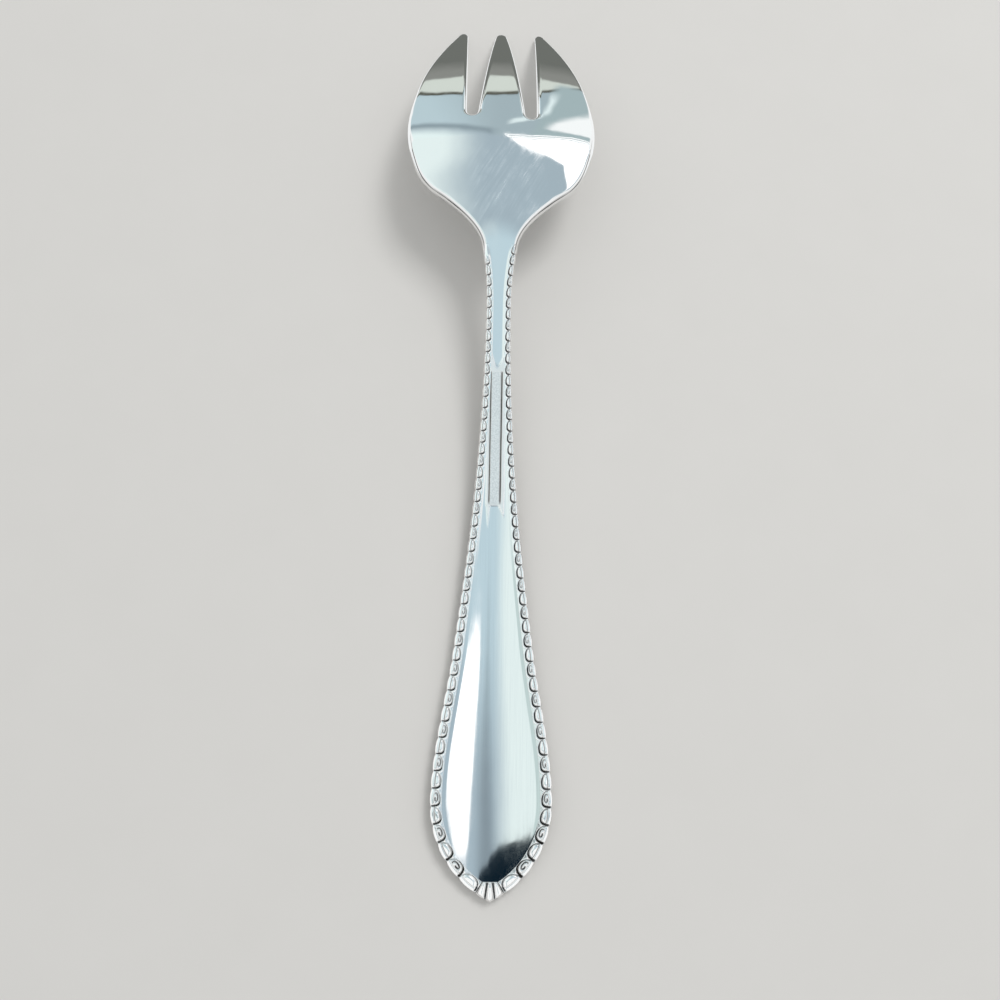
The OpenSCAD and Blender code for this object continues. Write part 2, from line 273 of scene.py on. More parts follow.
def ring_normals(before, rings, after):
    """Normals at the points of closed rings, given a ring before and after. Thin ends are round."""
    whole = np.concatenate([before[None], rings, after[None]])
    along = whole[2:] - whole[:-2]
    following, previous = np.roll(rings, -1, 1), np.roll(rings, 1, 1)
    k = rings.shape[1]
    for last, first in ((k // 2 - 1, k // 2), (k - 1, 0)):
        thick = np.linalg.norm(rings[:, last] - rings[:, first], axis=1) > THIN_END
        following[thick, last] = rings[thick, last]
        previous[thick, first] = rings[thick, first]
    n = np.cross(following - previous, along)
    return n / np.maximum(np.linalg.norm(n, axis=2, keepdims=True), 1e-12)


def new_object(name, data):
    """Object of a mesh, a lamp or a camera, put in the scene."""
    made = bpy.data.objects.new(name, data)
    bpy.context.scene.collection.objects.link(made)
    return made


def skin(name, rings, normals=None, flat_strips=(), marks=None):
    """Closed mesh object through the rings. Caps and flat strips keep their own flat normals."""
    rings = np.clip(rings, BOX_LOW, BOX_HIGH)
    n, k = rings.shape[:2]
    j, i = np.meshgrid(np.arange(n - 1), np.arange(k), indexing="ij")
    step = (i + 1) % k
    sides = np.stack([j * k + i, j * k + step, (j + 1) * k + step, (j + 1) * k + i], -1).reshape(-1, 4)
    c = np.arange(k // 2 - 1)
    start = np.stack([c, k - 1 - c, k - 2 - c, c + 1], -1)
    end = start[:, ::-1] + (n - 1) * k
    faces = np.concatenate([sides, start, end])
    mesh = bpy.data.meshes.new(name)
    mesh.from_pydata((rings.reshape(-1, 3) * MM).tolist(), [], faces.tolist())
    smooth = np.ones(len(faces), bool)
    smooth[len(sides):] = False
    for strip in flat_strips:
        smooth[:len(sides)][i.ravel() == strip % k] = False
    mesh.polygons.foreach_set("use_smooth", smooth)
    for mark, values in (marks or {}).items():
        layer = mesh.attributes.new(mark, "FLOAT", "POINT")
        layer.data.foreach_set("value", values.ravel().astype(np.float32))
    if normals is not None:
        corner = normals.reshape(-1, 3)[faces.ravel()].reshape(-1, 4, 3)
        corner[~smooth] = 0
        mesh.normals_split_custom_set(corner.reshape(-1, 3).tolist())
    mesh.update()
    return new_object(name, mesh)


def dress(piece, node, material):
    """The piece stands for its CAD node and rides with the fork's one body."""
    piece.data.materials.append(material)
    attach(piece, "root")
    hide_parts(node)


# Rolled rim of the head, into which the borders run out
RIM_RUN = np.array([
    [NECK_S, 0.95],
    [NECK_S + SHOULDER_AT, 0.9],
    [NECK_S + FLANK_AT, 0.75],
    [END_S, 0.6],
])
RIM_BEVEL = 0.25
RIM_FLOOR = 0.02
SLOPE_STEP = 0.05


def rolled(off, rim):
    """Share of the thickness at a distance from an edge that is rolled over a rim's width."""
    q = np.clip(1 - off / rim, 0, 1)
    return 1 - RIM_BEVEL * q - (1 - RIM_BEVEL) * (1 - np.sqrt(1 - q * q))


def outline_lean(s):
    """Angle between the outline and the length of the fork."""
    rise = (half_width(s + SLOPE_STEP) - half_width(s - SLOPE_STEP)) / (2 * SLOPE_STEP)
    return np.arctan(rise)


def rim_share(x, s):
    """Share of the thickness at places on the fork, thinner toward its outline."""
    off = (half_width(s) - x) * np.cos(outline_lean(s))
    return np.maximum(rolled(off, flow(RIM_RUN, s)), RIM_FLOOR)


# Border of the handle and stem, laid out along its edge
EDGE_STEPS = 6000
edge_s = np.linspace(0.0, NECK_S, EDGE_STEPS)
edge_x = half_width(edge_s)
edge_run = np.concatenate([[0.0], np.cumsum(np.hypot(np.diff(edge_s), np.diff(edge_x)))])
bead_index = np.arange(BEAD_COUNT)
bead_weight = 1 + (BEAD_GROWTH - 1) * np.exp(-bead_index / GROWTH_FADE)
bead_weight *= 1 + LEAD_GROWTH * np.exp(-bead_index / LEAD_FADE)
bead_ends = np.concatenate([[0.0], np.cumsum(bead_weight)])
bead_run = SHELL_LEN + (edge_run[-1] - SHELL_LEN) * bead_ends / bead_weight.sum()
NOTCHES = np.interp(bead_run, edge_run, edge_s)
STEM_NOTCH = int((NOTCHES < STEM_S).sum())


def edge_lean(s):
    """Lean of insets from the edge. Past the stem's narrowest place they run straight across."""
    return np.where(s < NARROW_S, outline_lean(s), 0.0)


def outer_edge(s, inset):
    """Place across and along the fork at an inset from its edge."""
    lean = edge_lean(s)
    return half_width(s) - inset * np.cos(lean), s + inset * np.sin(lean)


def border_w(s):
    return mix(BORDER_TIP_W, BORDER_NECK_W, s / NECK_S)


def inner_wall(s):
    return outer_edge(s, border_w(s))


# Shape of the beads, in millimetres or in shares of their length, width or weight
GROOVE_AT = 0.2
LINE_AT = 0.66
BEAD_GAP = 0.06
BEAD_PEAK = 0.42
BLUNT = 3.0
DRAWN = 1.9
GROOVE_W = 0.15
GROOVE_SIDE = 0.65
GROOVE_DARK = 1.35
GROOVE_TAIL = 0.25
GROOVE_SHARP = 4
GROOVE_NARROW = 0.5
GROOVE_FAINT = 0.4
HEAD_TO_SIDE = (0.08, 0.35)
SIDE_TO_TAIL = (0.5, 1.0)
SIDE_SHADE_IN = (0.1, 0.3)
BOLD_OUT = (0.0, 0.2)
STROKE_REACH = 0.6
DOME_W = 0.85
LINE_W = 0.08
LINE_D = 0.12
LINE_IN = (0.0, 0.3)
LINE_DARK = 0.8
RIM_H = 0.32
RIM_LEAST = 0.4
RIM_PHASE = (0.12, 0.85)
RIM_STEP = (-0.04, 0.16)
LIP_H = 0.07
LIP_AT = 0.36
LIP_W = 0.13
LIP_IN = (0.0, 0.2)
FILLET_H = 0.09
FILLET_W = 0.85
FILLET_FROM = 10.0
FILLET_FULL = 18.0
LOBE_FULLNESS = 0.5
RUN_OUT = 3.2
SCROLL_D = 0.22
SCROLL_W = 0.1
SCROLL_TURNS = 0.86
SCROLL_FROM = math.radians(25)
SCROLL_AT = (0.5, 0.32)
SCROLL_ALONG = (0.3, 0.1)
SCROLL_ACROSS = (0.42, 0.14)
TIP_BEADS = 6.0
TIP_BOLD = 0.55
TIP_GROOVE_AT = 0.07
TIP_SPREAD = 0.8
STROKE_FADE = 0.4
GROOVE_MOST = 1.2
GROOVE_SHADE_WIDTH = (0.86, 1.2)
# Painted shade by side: the right border's grooves are drawn darker and wider than the left's
LEFT_GROOVE_SHADE = 0.4
RIGHT_GROOVE_SHADE = 1.0
OUTLINE_POINTS = 90
STROKE_POINTS = 16
LEAF_WEIGHT = 0.45
SCORES = {"leaf": 0.0, "egg": 1.0, "scroll": 0.1}


def border_scale(s):
    return border_w(s) / BORDER_TIP_W


def wall_rise(s):
    """Height of the fillet where the field meets the border. There is none at either end."""
    ends = ramp(FILLET_FROM, FILLET_FULL, s) * ramp(NECK_S, NECK_S - RUN_OUT, s)
    return FILLET_H * border_scale(s) * ends


def boldness(tip):
    """Strength of the strokes, for a nearness to the tip from 0 to 1."""
    return 1 + TIP_BOLD * tip


def bead_edge(pitch, line, depth, rim, side_shade, tip):
    """Edge of a bead and its weight: a stroke in the rim, a blunt end, then one that thins out."""
    t = (1 - np.cos(np.linspace(0, math.pi, OUTLINE_POINTS))) / 2
    early = t < BEAD_PEAK
    lean = np.abs(t - BEAD_PEAK) / np.where(early, BEAD_PEAK, 1 - BEAD_PEAK)
    full = np.sqrt(np.clip(1 - lean ** np.where(early, BLUNT, DRAWN), 0, 1))
    stroke = np.linspace(STROKE_REACH, 0, STROKE_POINTS, endpoint=False)
    along = np.concatenate([np.full(STROKE_POINTS, BEAD_GAP), mix(BEAD_GAP, 1 - BEAD_GAP / 2, t)]) * pitch
    across = np.concatenate([line + stroke * rim, line - depth * full])
    # The weight sets each groove's width and darkness: greatest at the bead's head and less toward its
    # tail, a painted shade at the head end
    body = mix(1.0, GROOVE_SIDE, ramp(*HEAD_TO_SIDE, t))
    body = mix(body, GROOVE_TAIL, ramp(*SIDE_TO_TAIL, t)) * mix(1.0, side_shade, ramp(*SIDE_SHADE_IN, t))
    body = body * mix(boldness(tip), 1.0, ramp(*BOLD_OUT, t))
    spread = 1 + mix(-STROKE_FADE, TIP_SPREAD, tip) * stroke / STROKE_REACH
    return along, across, np.concatenate([spread * boldness(tip), body])


def groove_stroke(gap, weight, scale, side_shade):
    """Strength of the groove at a distance from a bead's edge, fainter where it has less weight, wider
    where its side's painted shade is stronger.
    """
    width = GROOVE_W * scale * mix(*GROOVE_SHADE_WIDTH, side_shade)
    groove = np.exp(-(gap / (width * mix(GROOVE_NARROW, 1.0, weight))) ** GROOVE_SHARP)
    return groove * np.minimum(mix(GROOVE_FAINT, 1.0, weight), GROOVE_MOST)


def rim_height(out):
    """Height of the rounded rim, at a share of the way out from the beads' line."""
    return RIM_H * mix(RIM_LEAST, 1.0, np.sin(math.pi * mix(*RIM_PHASE, np.clip(out, 0, 1))))


def curl_stroke(along, across, pitch, line, depth, width):
    """Strength of the curl that winds inward on a scroll."""
    turn = np.linspace(0, 1, OUTLINE_POINTS)
    angle = SCROLL_FROM - turn * SCROLL_TURNS * 2 * math.pi
    curl_a = pitch * (SCROLL_AT[0] + mix(*SCROLL_ALONG, turn) * np.cos(angle))
    curl_b = line - depth * (SCROLL_AT[1] - mix(*SCROLL_ACROSS, turn) * np.sin(angle))
    return bell(np.hypot(along[..., None] - curl_a, across[..., None] - curl_b).min(-1), width)


def bead_relief(along, across, width, pitch, wall, kind, side_shade, tip):
    """Height above the field and darkness of the grooves for one bead, over a grid of places."""
    mean_w = float(width.mean())
    scale = mean_w / BORDER_TIP_W
    line = LINE_AT * mean_w
    depth = line - mix(GROOVE_AT, TIP_GROOVE_AT, tip) * mean_w
    across = across * mean_w / width
    edge_a, edge_b, weight = bead_edge(pitch, line, depth, mean_w - line, side_shade, tip)
    gap = np.hypot(along[..., None] - edge_a, across[..., None] - edge_b)
    nearest = gap.argmin(-1)
    gap = gap.min(-1)
    body = slice(STROKE_POINTS, None)
    within = across >= np.interp(along, edge_a[body], edge_b[body], left=2 * line, right=2 * line)
    weight = weight[nearest] * (LEAF_WEIGHT if kind == "leaf" else 1.0)
    groove = groove_stroke(gap, weight, scale, side_shade)
    dome = 1 - (1 - np.clip(gap / (DOME_W * scale), 0, 1)) ** 2
    lip = LIP_H * bell(gap - LIP_AT * scale, LIP_W * scale) * ramp(*LIP_IN, across / scale)
    ground = wall + lip * weight * (1 - tip)
    on_rim = ramp(*RIM_STEP, (across - line) / scale)
    rim = rim_height((across - line) / (width - line))
    height = mix(np.where(within, BEAD_RELIEF * dome, ground), rim, on_rim)
    score = bell(across - line, LINE_W * scale) * SCORES[kind] * within * ramp(*LINE_IN, gap / scale)
    height = height - BEAD_GROOVE * groove - LINE_D * score
    dark = np.maximum(np.minimum(GROOVE_DARK * groove, 1.0), LINE_DARK * score)
    if kind == "scroll":
        curl = curl_stroke(along, across, pitch, line, depth, SCROLL_W * scale * boldness(tip))
        curl = curl * (1 - on_rim) * scale
        height = height - SCROLL_D * scale * boldness(tip) * curl
        dark = np.maximum(dark, curl)
    return height, dark


# Strips of the border, with the relief on their back and their face
BEAD_STEPS = 26
CROSS_STEPS = 32
CROSS_SHARE = np.linspace(0, 1, CROSS_STEPS + 1)[None]
EDGE_ROUND_FROM = 0.7
FALL_FROM = 0.3
BORDER_FALL = 0.3
EDGE_POINTS = 4
SMOOTH_BEADS = 2


def strip_rings(inner, outer, height, dark):
    """Rings of a strip between two edges, given across and along, and the darkness at their points."""
    x = mix(inner[0][:, None], outer[0][:, None], CROSS_SHARE)
    s = mix(inner[1][:, None], outer[1][:, None], CROSS_SHARE)
    fall = BORDER_FALL * border_w(outer[1])[:, None] * np.clip(CROSS_SHARE - FALL_FROM, 0, 1)
    level = thickness(s) / 2 + height - fall
    edge = (BORDER_EDGE_T / 2 * thickness(outer[1]) / HANDLE_T)[:, None]
    drop = np.clip((CROSS_SHARE - EDGE_ROUND_FROM) / (1 - EDGE_ROUND_FROM), 0, 1)
    level = mix(level, edge, 1 - np.sqrt(1 - drop ** 2))
    out = ramp(NECK_S - RUN_OUT, NECK_S, s)
    level = mix(level, thickness(s) / 2 * rim_share(np.abs(x), s), out)
    edge = mix(edge, thickness(s[:, -1:]) / 2 * RIM_FLOOR, out[:, -1:])
    back = place(x, s, level)
    face = place(x, s, -level)[:, ::-1]
    turn = np.linspace(1, -1, EDGE_POINTS + 2)[1:-1]
    side = place(x[:, -1:], s[:, -1:], edge * turn)
    rings = np.concatenate([back, side, face], 1)
    shade = np.concatenate([dark, np.zeros((len(dark), EDGE_POINTS)), dark[:, ::-1]], 1)
    return rings, shade


def border_rings(smooth_beads, side_shade):
    """Rings of the right border, bead after bead. The last few may run out into a smooth strip."""
    strip = RIM_H * np.sqrt(1 - (1 - CROSS_SHARE) ** 2)
    places, heights, darks, notch = [], [], [], []
    for bead in range(BEAD_COUNT):
        u = np.arange(BEAD_STEPS + (bead == BEAD_COUNT - 1)) / BEAD_STEPS
        s = mix(NOTCHES[bead], NOTCHES[bead + 1], u)
        width = border_w(s)[:, None]
        pitch = bead_run[bead + 1] - bead_run[bead]
        along = u[:, None] * pitch + 0 * CROSS_SHARE
        wall = wall_rise(s)[:, None]
        kind = "leaf" if bead == 0 else ("scroll" if bead % 2 else "egg")
        tip = math.exp(-(bead / TIP_BEADS) ** 2)
        height, dark = bead_relief(along, CROSS_SHARE * width, width, pitch, wall, kind, side_shade, tip)
        worn = ramp(0, 1, bead + u - (BEAD_COUNT - smooth_beads))[:, None]
        places.append(s)
        heights.append(mix(height, strip + wall * (1 - CROSS_SHARE), worn))
        darks.append(mix(dark, 0.0, worn))
        notch.append((1 - np.sin(math.pi * u) ** LOBE_FULLNESS) * (1 - np.ravel(worn)))
    s = np.concatenate(places)
    outer = outer_edge(s, BEAD_NOTCH * np.concatenate(notch))
    return strip_rings(inner_wall(s), outer, np.concatenate(heights), np.concatenate(darks))


def mirrored(rings):
    """The same rings on the fork's other side, in the order that keeps their faces outward."""
    flipped = rings.copy()
    flipped[..., 0] *= -1
    k = rings.shape[1]
    order = np.concatenate([np.arange(k // 2)[::-1], np.arange(k // 2, k)[::-1]])
    return flipped[:, order], order


# Fan of flutes at the pointed tip
FLUTE_STEPS = 30
FLUTE_H = 0.65
FLUTE_VALLEY = 0.25
FLUTE_TOP = 0.16
FLUTE_DARK = 0.85
FLUTE_SHARES = (0.78, 0.9)
FLUTE_LEAST = 0.02
FLUTE_NOTCH = 3
RIDGE_IN = (0.0, 0.4)
VALLEY_EDGE = (0.92, 1.1)
VALLEY_IN = (0.0, 0.08)


def shell_rings():
    """Rings across the fan, from the left border to the right one."""
    v = np.linspace(-1, 1, SHELL_FLUTES * FLUTE_STEPS + 1)
    s = np.interp(np.abs(v) * SHELL_LEN, edge_run, edge_s)
    flute = (v + 1) / 2 * SHELL_FLUTES
    off = 2 * np.abs(flute - np.minimum(np.floor(flute), SHELL_FLUTES - 1) - 0.5)
    inner_x, inner_s = inner_wall(NOTCHES[0])
    outer_x, outer_s = outer_edge(s, np.abs(v) * BEAD_NOTCH * off ** FLUTE_NOTCH)
    inner = (inner_x * v, np.full_like(v, inner_s))
    outer = (outer_x * np.sign(v), outer_s)
    top = np.sqrt(1 - (1 - np.clip(CROSS_SHARE / FLUTE_TOP, 0, 1)) ** 2)
    half = np.maximum(mix(*FLUTE_SHARES, CROSS_SHARE) * top, FLUTE_LEAST)
    across = off[:, None] / half
    ridge = np.sqrt(np.clip(1 - across ** 2, 0, 1)) * ramp(*RIDGE_IN, top)
    valley = ramp(*VALLEY_EDGE, across) * ramp(*VALLEY_IN, CROSS_SHARE)
    return strip_rings(inner, outer, FLUTE_H * ridge - FLUTE_VALLEY * valley, FLUTE_DARK * valley)


# Hollow field of the handle and stem between the borders, with the bare raised panel on the stem
PANEL_FROM = 79.6
PANEL_TO = 108.8
PANEL_HALF = 1.18
PANEL_MIDDLE = -0.22
PANEL_LINE_W = 0.15
PANEL_WIDER = 0.04
PANEL_LINE_D = 0.12
PANEL_LINE_IN = (-0.1, 0.4)
PANEL_SINK = 0.03
SINK_SIDE = (0.1, -0.1)
SINK_IN = (-0.1, 0.2)
PANEL_RISE = 0.12
PANEL_POINT = 3.4
PANEL_BEVEL = 1.8
PAD_LEFT = -1.87
PAD_RIGHT = 1.6
PAD_BEVEL = 0.4
PAD_END = 0.7
LEG_AT = -1.55
LEG_HALF = 0.32
LEG_LEN = 6.5
LEG_POINT = 0.4
PAD_DROP = 2.4
PAD_DROP_FROM = 0.5
FIELD_DELTA = 0.02
HANDLE_ROWS = 6
HANDLE_COLUMNS = 96
STEM_ROWS = 10
STEM_COLUMNS = 80

wall_half, wall_s = inner_wall(edge_s)


def field_half(s):
    return np.interp(s, wall_s, wall_half)


def fillet(x, s):
    """Rise of the field to the wall of the border."""
    scale = border_scale(s)
    into = np.clip(1 - (field_half(s) - np.abs(x)) / (FILLET_W * scale), 0, 1)
    return wall_rise(s) * into ** 2


def panel(x, s):
    """Rise of the panel over the field, darkness of its scored lines, its satin and its grain."""
    beside = ramp(PAD_LEFT - PAD_BEVEL, PAD_LEFT, x) * ramp(PAD_RIGHT + PAD_BEVEL, PAD_RIGHT, x)
    taper = ramp(PANEL_FROM - LEG_LEN, PANEL_FROM, s)
    leg = bell(x - LEG_AT, mix(LEG_POINT, 1.0, taper) * LEG_HALF) * taper
    end = PANEL_FROM - PAD_DROP * ramp(PAD_DROP_FROM, PAD_RIGHT + PAD_BEVEL, x)
    lower = np.maximum(ramp(end - PAD_END, end, s), leg)
    upper_end = PANEL_TO + (x / field_half(s)) ** 2 * PANEL_POINT
    raised = beside * lower * ramp(-PANEL_BEVEL, 0.0, upper_end - s)
    inner_end = np.minimum(s - PANEL_FROM, PANEL_TO - s)
    off = np.abs(x - PANEL_MIDDLE) - PANEL_HALF
    line = bell(off, PANEL_LINE_W + PANEL_WIDER * (x > 0)) * ramp(*PANEL_LINE_IN, inner_end)
    sunk = ramp(*SINK_SIDE, off) * ramp(*SINK_IN, inner_end)
    return PANEL_RISE * raised - PANEL_LINE_D * line - PANEL_SINK * sunk, line, raised, sunk


def field_back(x, s):
    return place(x, s, thickness(s) / 2 + np.maximum(panel(x, s)[0], fillet(x, s)))


def field_face(x, s):
    return place(x, s, -thickness(s) / 2)


def surface_normals(surface, x, s):
    across = surface(x + FIELD_DELTA, s) - surface(x - FIELD_DELTA, s)
    along = surface(x, s + FIELD_DELTA) - surface(x, s - FIELD_DELTA)
    n = np.cross(across, along)
    return n / np.linalg.norm(n, axis=2, keepdims=True)


def field_piece(name, first, last, rows_per_bead, columns):
    """Field from one notch to another, with true normals so that its ends don't show."""
    notch_share = np.arange((last - first) * rows_per_bead + 1) / rows_per_bead
    s = np.interp(notch_share + first, np.arange(BEAD_COUNT + 1), NOTCHES)
    half, at = inner_wall(s)
    x = np.linspace(-1, 1, columns + 1)[None] * half[:, None]
    at = at[:, None] + 0 * x
    rings = np.concatenate([field_back(x, at), field_face(x, at)[:, ::-1]], 1)
    back = surface_normals(field_back, x, at)
    face = -surface_normals(field_face, x, at)[:, ::-1]
    _, line, satin, grain = panel(x, at)
    marks = {"groove": line, "satin": satin, "grain": grain}
    marks = {mark: np.concatenate([values, 0 * x], 1) for mark, values in marks.items()}
    return skin(name, rings, np.concatenate([back, face], 1), (columns, 2 * columns + 1), marks)


# Head: the domed bowl and its tines, with a rolled rim along their outline and the slots
RIM_COLUMNS = 12
RIM_TURNS = np.radians(np.linspace(0, 90, RIM_COLUMNS)[1:])
SLOT_RIM = 0.9
SLOT_DENSE = 1.7
BOWL_STEPS = 96
TINE_COLUMNS = 26
SLOT_STEPS = 18
TINE_STEPS = 60
TIP_STEPS = 14
CONTOUR_STEPS = 40
LEAST_STEP = 0.004
DENSE_SHARE = 0.8
TIP_BLUNT = 0.16
GHOST = 0.02

SLOT_R = SLOT_ROOT_W / 2
SLOT_X = SLOT_ROOT_SPAN / 2 - SLOT_R
LEFT_ROOT = ROOT_S + LEFT_ROOT_AT
RIGHT_ROOT = ROOT_S + RIGHT_ROOT_AT
TIP_ZONE = END_S - TIP_ROUND


def slot_half(d):
    """Half width of a slot with a rounded root, at a distance past that root."""
    left = 1 - min(max(d / SLOT_ROOT_LEN, 0.0), 1.0)
    return SLOT_R * math.sqrt(1 - left ** 2)


def past_root(s, root):
    """Share of the way from the rounded root of a slot to the tips."""
    return max(0.0, (s - root - SLOT_ROOT_LEN) / (END_S - root - SLOT_ROOT_LEN))


def slot_outer(s, root):
    return SLOT_X + slot_half(s - root) + (SLOT_SPAN - SLOT_ROOT_SPAN) / 2 * past_root(s, root)


def slot_inner(s, root):
    return mix(SLOT_X - slot_half(s - root), MIDDLE_TIP_W / 2, past_root(s, root))


def root_places(root, steps):
    return root + SLOT_ROOT_LEN * (1 - np.cos(np.linspace(0, math.pi / 2, steps + 1)))


def slot_contour(root, sign):
    """Points round a slot, from its inner edge's tip over the root to its outer edge's tip."""
    straight = np.linspace(root + SLOT_ROOT_LEN, END_S, CONTOUR_STEPS)[1:]
    places = np.concatenate([root_places(root, CONTOUR_STEPS), straight])
    inner = [(sign * slot_inner(s, root), s) for s in places[::-1]]
    outer = [(sign * slot_outer(s, root), s) for s in places[1:]]
    return np.array(inner + outer)


SLOT_CONTOURS = (slot_contour(LEFT_ROOT, -1), slot_contour(RIGHT_ROOT, 1))


def gap_to(line, x, s):
    """Distance of places across one ring from a line of points."""
    start, run = line[:-1], np.diff(line, axis=0)
    dx, ds = x[:, None] - start[:, 0], s - start[:, 1]
    share = np.clip((dx * run[:, 0] + ds * run[:, 1]) / (run * run).sum(1), 0, 1)
    return np.hypot(dx - share * run[:, 0], ds - share * run[:, 1]).min(-1)


def head_share(x, s):
    """Share of the head's thickness over places across a ring, thinner along every rim."""
    share = rim_share(np.abs(x), s)
    if s > ROOT_S - SLOT_RIM:
        for contour in SLOT_CONTOURS:
            share = np.minimum(share, rolled(gap_to(contour, x, s), SLOT_RIM))
    return np.maximum(share, RIM_FLOOR)


def head_columns(left, right, left_dense, right_dense):
    """Places across the head between two edges, close together near each edge."""
    out = 1 - np.sin(RIM_TURNS)
    inner = np.linspace(left + left_dense, right - right_dense, TINE_COLUMNS + 1)
    return np.concatenate([left + left_dense * out[::-1], inner, right - right_dense * out])


def section(s, x, share=1.0):
    """Closed ring across the head through places across it."""
    n = float(thickness(s)) / 2 * share * head_share(x, s)
    return np.concatenate([place(x, s, n), place(x, s, -n)[::-1]])


ROOT_HALF = float(half_width(ROOT_S))
ROOT_RIM = float(flow(RIM_RUN, ROOT_S))
ROOT_COLUMNS = np.concatenate([
    head_columns(-ROOT_HALF, -SLOT_X, ROOT_RIM, SLOT_DENSE),
    head_columns(-SLOT_X, SLOT_X, SLOT_DENSE, SLOT_DENSE)[1:],
    head_columns(SLOT_X, ROOT_HALF, SLOT_DENSE, ROOT_RIM)[1:],
])


def bowl_ring(s):
    return section(s, ROOT_COLUMNS * float(half_width(s)) / ROOT_HALF)


def bowl_places():
    near_root = ROOT_S - SLOT_RIM * np.linspace(1, 0, SLOT_STEPS) ** 2
    return np.concatenate([np.linspace(NECK_S, ROOT_S - SLOT_RIM, BOWL_STEPS + 1)[:-1], near_root])


def tine_places():
    """Rings of a tine: close together round the slot roots and at the tip."""
    roots = [root_places(root, SLOT_STEPS) for root in (LEFT_ROOT, RIGHT_ROOT)]
    near_root = LEFT_ROOT - SLOT_RIM * np.linspace(1, 0, SLOT_STEPS) ** 2
    shaft = np.linspace(ROOT_S, TIP_ZONE, TINE_STEPS + 1)
    tip = TIP_ZONE + TIP_ROUND * np.sin(np.linspace(0, math.pi / 2, TIP_STEPS + 1))
    places = np.sort(np.concatenate(roots + [near_root[near_root > ROOT_S], shaft, tip]))
    return places[np.concatenate([[True], np.diff(places) > LEAST_STEP])]


def tine_ring(s, left, right, left_dense, right_dense):
    """Ring of a tine between its two edges. It draws in to a blunt point over the last stretch."""
    past = max(0.0, (s - TIP_ZONE) / TIP_ROUND)
    share = mix(TIP_BLUNT, 1.0, math.sqrt(max(0.0, 1 - past ** 2)))
    limit = (right - left) / 2 * DENSE_SHARE
    ring = section(s, head_columns(left, right, min(left_dense, limit), min(right_dense, limit)), share)
    middle = place(np.array([(left + right) / 2]), s, 0.0)
    return middle + (ring - middle) * np.array([share, 1.0, 1.0])


def right_tine_ring(s):
    inner, outer = slot_outer(s, RIGHT_ROOT), float(half_width(s))
    return tine_ring(s, inner, outer, SLOT_DENSE, float(flow(RIM_RUN, s)))


def left_tine_ring(s):
    inner, outer = slot_outer(s, LEFT_ROOT), float(half_width(s))
    return tine_ring(s, -outer, -inner, float(flow(RIM_RUN, s)), SLOT_DENSE)


def middle_tine_ring(s):
    return tine_ring(s, -slot_inner(s, LEFT_ROOT), slot_inner(s, RIGHT_ROOT), SLOT_DENSE, SLOT_DENSE)


def head_piece(name, ring_at, places):
    """Smooth piece of the head, with normals that run on into the next piece."""
    rings = np.stack([ring_at(s) for s in places])
    before = ring_at(places[0] - GHOST)
    if places[-1] < END_S:
        after = ring_at(places[-1] + GHOST)
    else:
        after = rings[-1] * 2 - rings[-2]
    return skin(name, rings, ring_normals(before, rings, after))


# Materials

def nodes_of(owner):
    """Emptied node tree of a material or of the world."""
    owner.use_nodes = True
    owner.node_tree.nodes.clear()
    return owner.node_tree


def add(tree, kind, inputs=None, **settings):
    """New shader node with its settings, and values or links for its inputs."""
    node = tree.nodes.new("ShaderNode" + kind)
    for key, value in settings.items():
        setattr(node, key, value)
    for key, value in (inputs or {}).items():
        if isinstance(value, bpy.types.NodeSocket):
            tree.links.new(value, node.inputs[key])
        else:
            node.inputs[key].default_value = value
    return node


def new_material(name):
    """Material with an emptied node tree, and the place of a point on its object."""
    material = bpy.data.materials.new(name)
    tree = nodes_of(material)
    return material, tree, add(tree, "TexCoord").outputs["Object"]


def set_surface(tree, kind, inputs, output="OutputMaterial"):
    """Shader at the end of a node tree."""
    shader = add(tree, kind, inputs)
    add(tree, output, {"Surface": shader.outputs[0]})


def stretched_noise(tree, point, turn, scale, detail):
    """Noise drawn out into streaks: turned about Z, then scaled per metre along each axis."""
    spin = {"Vector": point, "Angle": turn}
    spun = add(tree, "VectorRotate", spin, rotation_type="Z_AXIS")
    mapped = add(tree, "Mapping", {"Vector": spun.outputs[0], "Scale": scale})
    noise = {"Vector": mapped.outputs[0], "Scale": 1.0, "Detail": detail, "Roughness": 0.6}
    return add(tree, "TexNoise", noise).outputs[0]


def ranged(tree, value, low, high, to_low, to_high, kind="LINEAR"):
    inputs = {"Value": value, 1: low, 2: high, 3: to_low, 4: to_high}
    return add(tree, "MapRange", inputs, interpolation_type=kind).outputs[0]


def soft(tree, value, low, high):
    """Soft step from 0 to 1 between two values, which may fall as well as rise."""
    if low < high:
        return ranged(tree, value, low, high, 0.0, 1.0, "SMOOTHSTEP")
    return ranged(tree, value, high, low, 1.0, 0.0, "SMOOTHSTEP")


def maths(tree, operation, *values):
    return add(tree, "Math", dict(enumerate(values)), operation=operation).outputs[0]


def both(tree, first, second):
    return maths(tree, "MULTIPLY", first, second)


def away(tree, value, middle):
    """Distance from a middle, on either side."""
    return maths(tree, "ABSOLUTE", maths(tree, "SUBTRACT", value, middle))


def zone(tree, area, *values):
    """Share of an area with soft edges: each value comes in between its own two places."""
    share = soft(tree, values[0], *area[0])
    for value, places in zip(values[1:], area[1:]):
        share = both(tree, share, soft(tree, value, *places))
    return share


def blend(tree, share, first, second):
    return add(tree, "Mix", {0: share, 6: first, 7: second}, data_type="RGBA").outputs[2]


def rgb(r, g, b):
    return (r, g, b, 1.0)


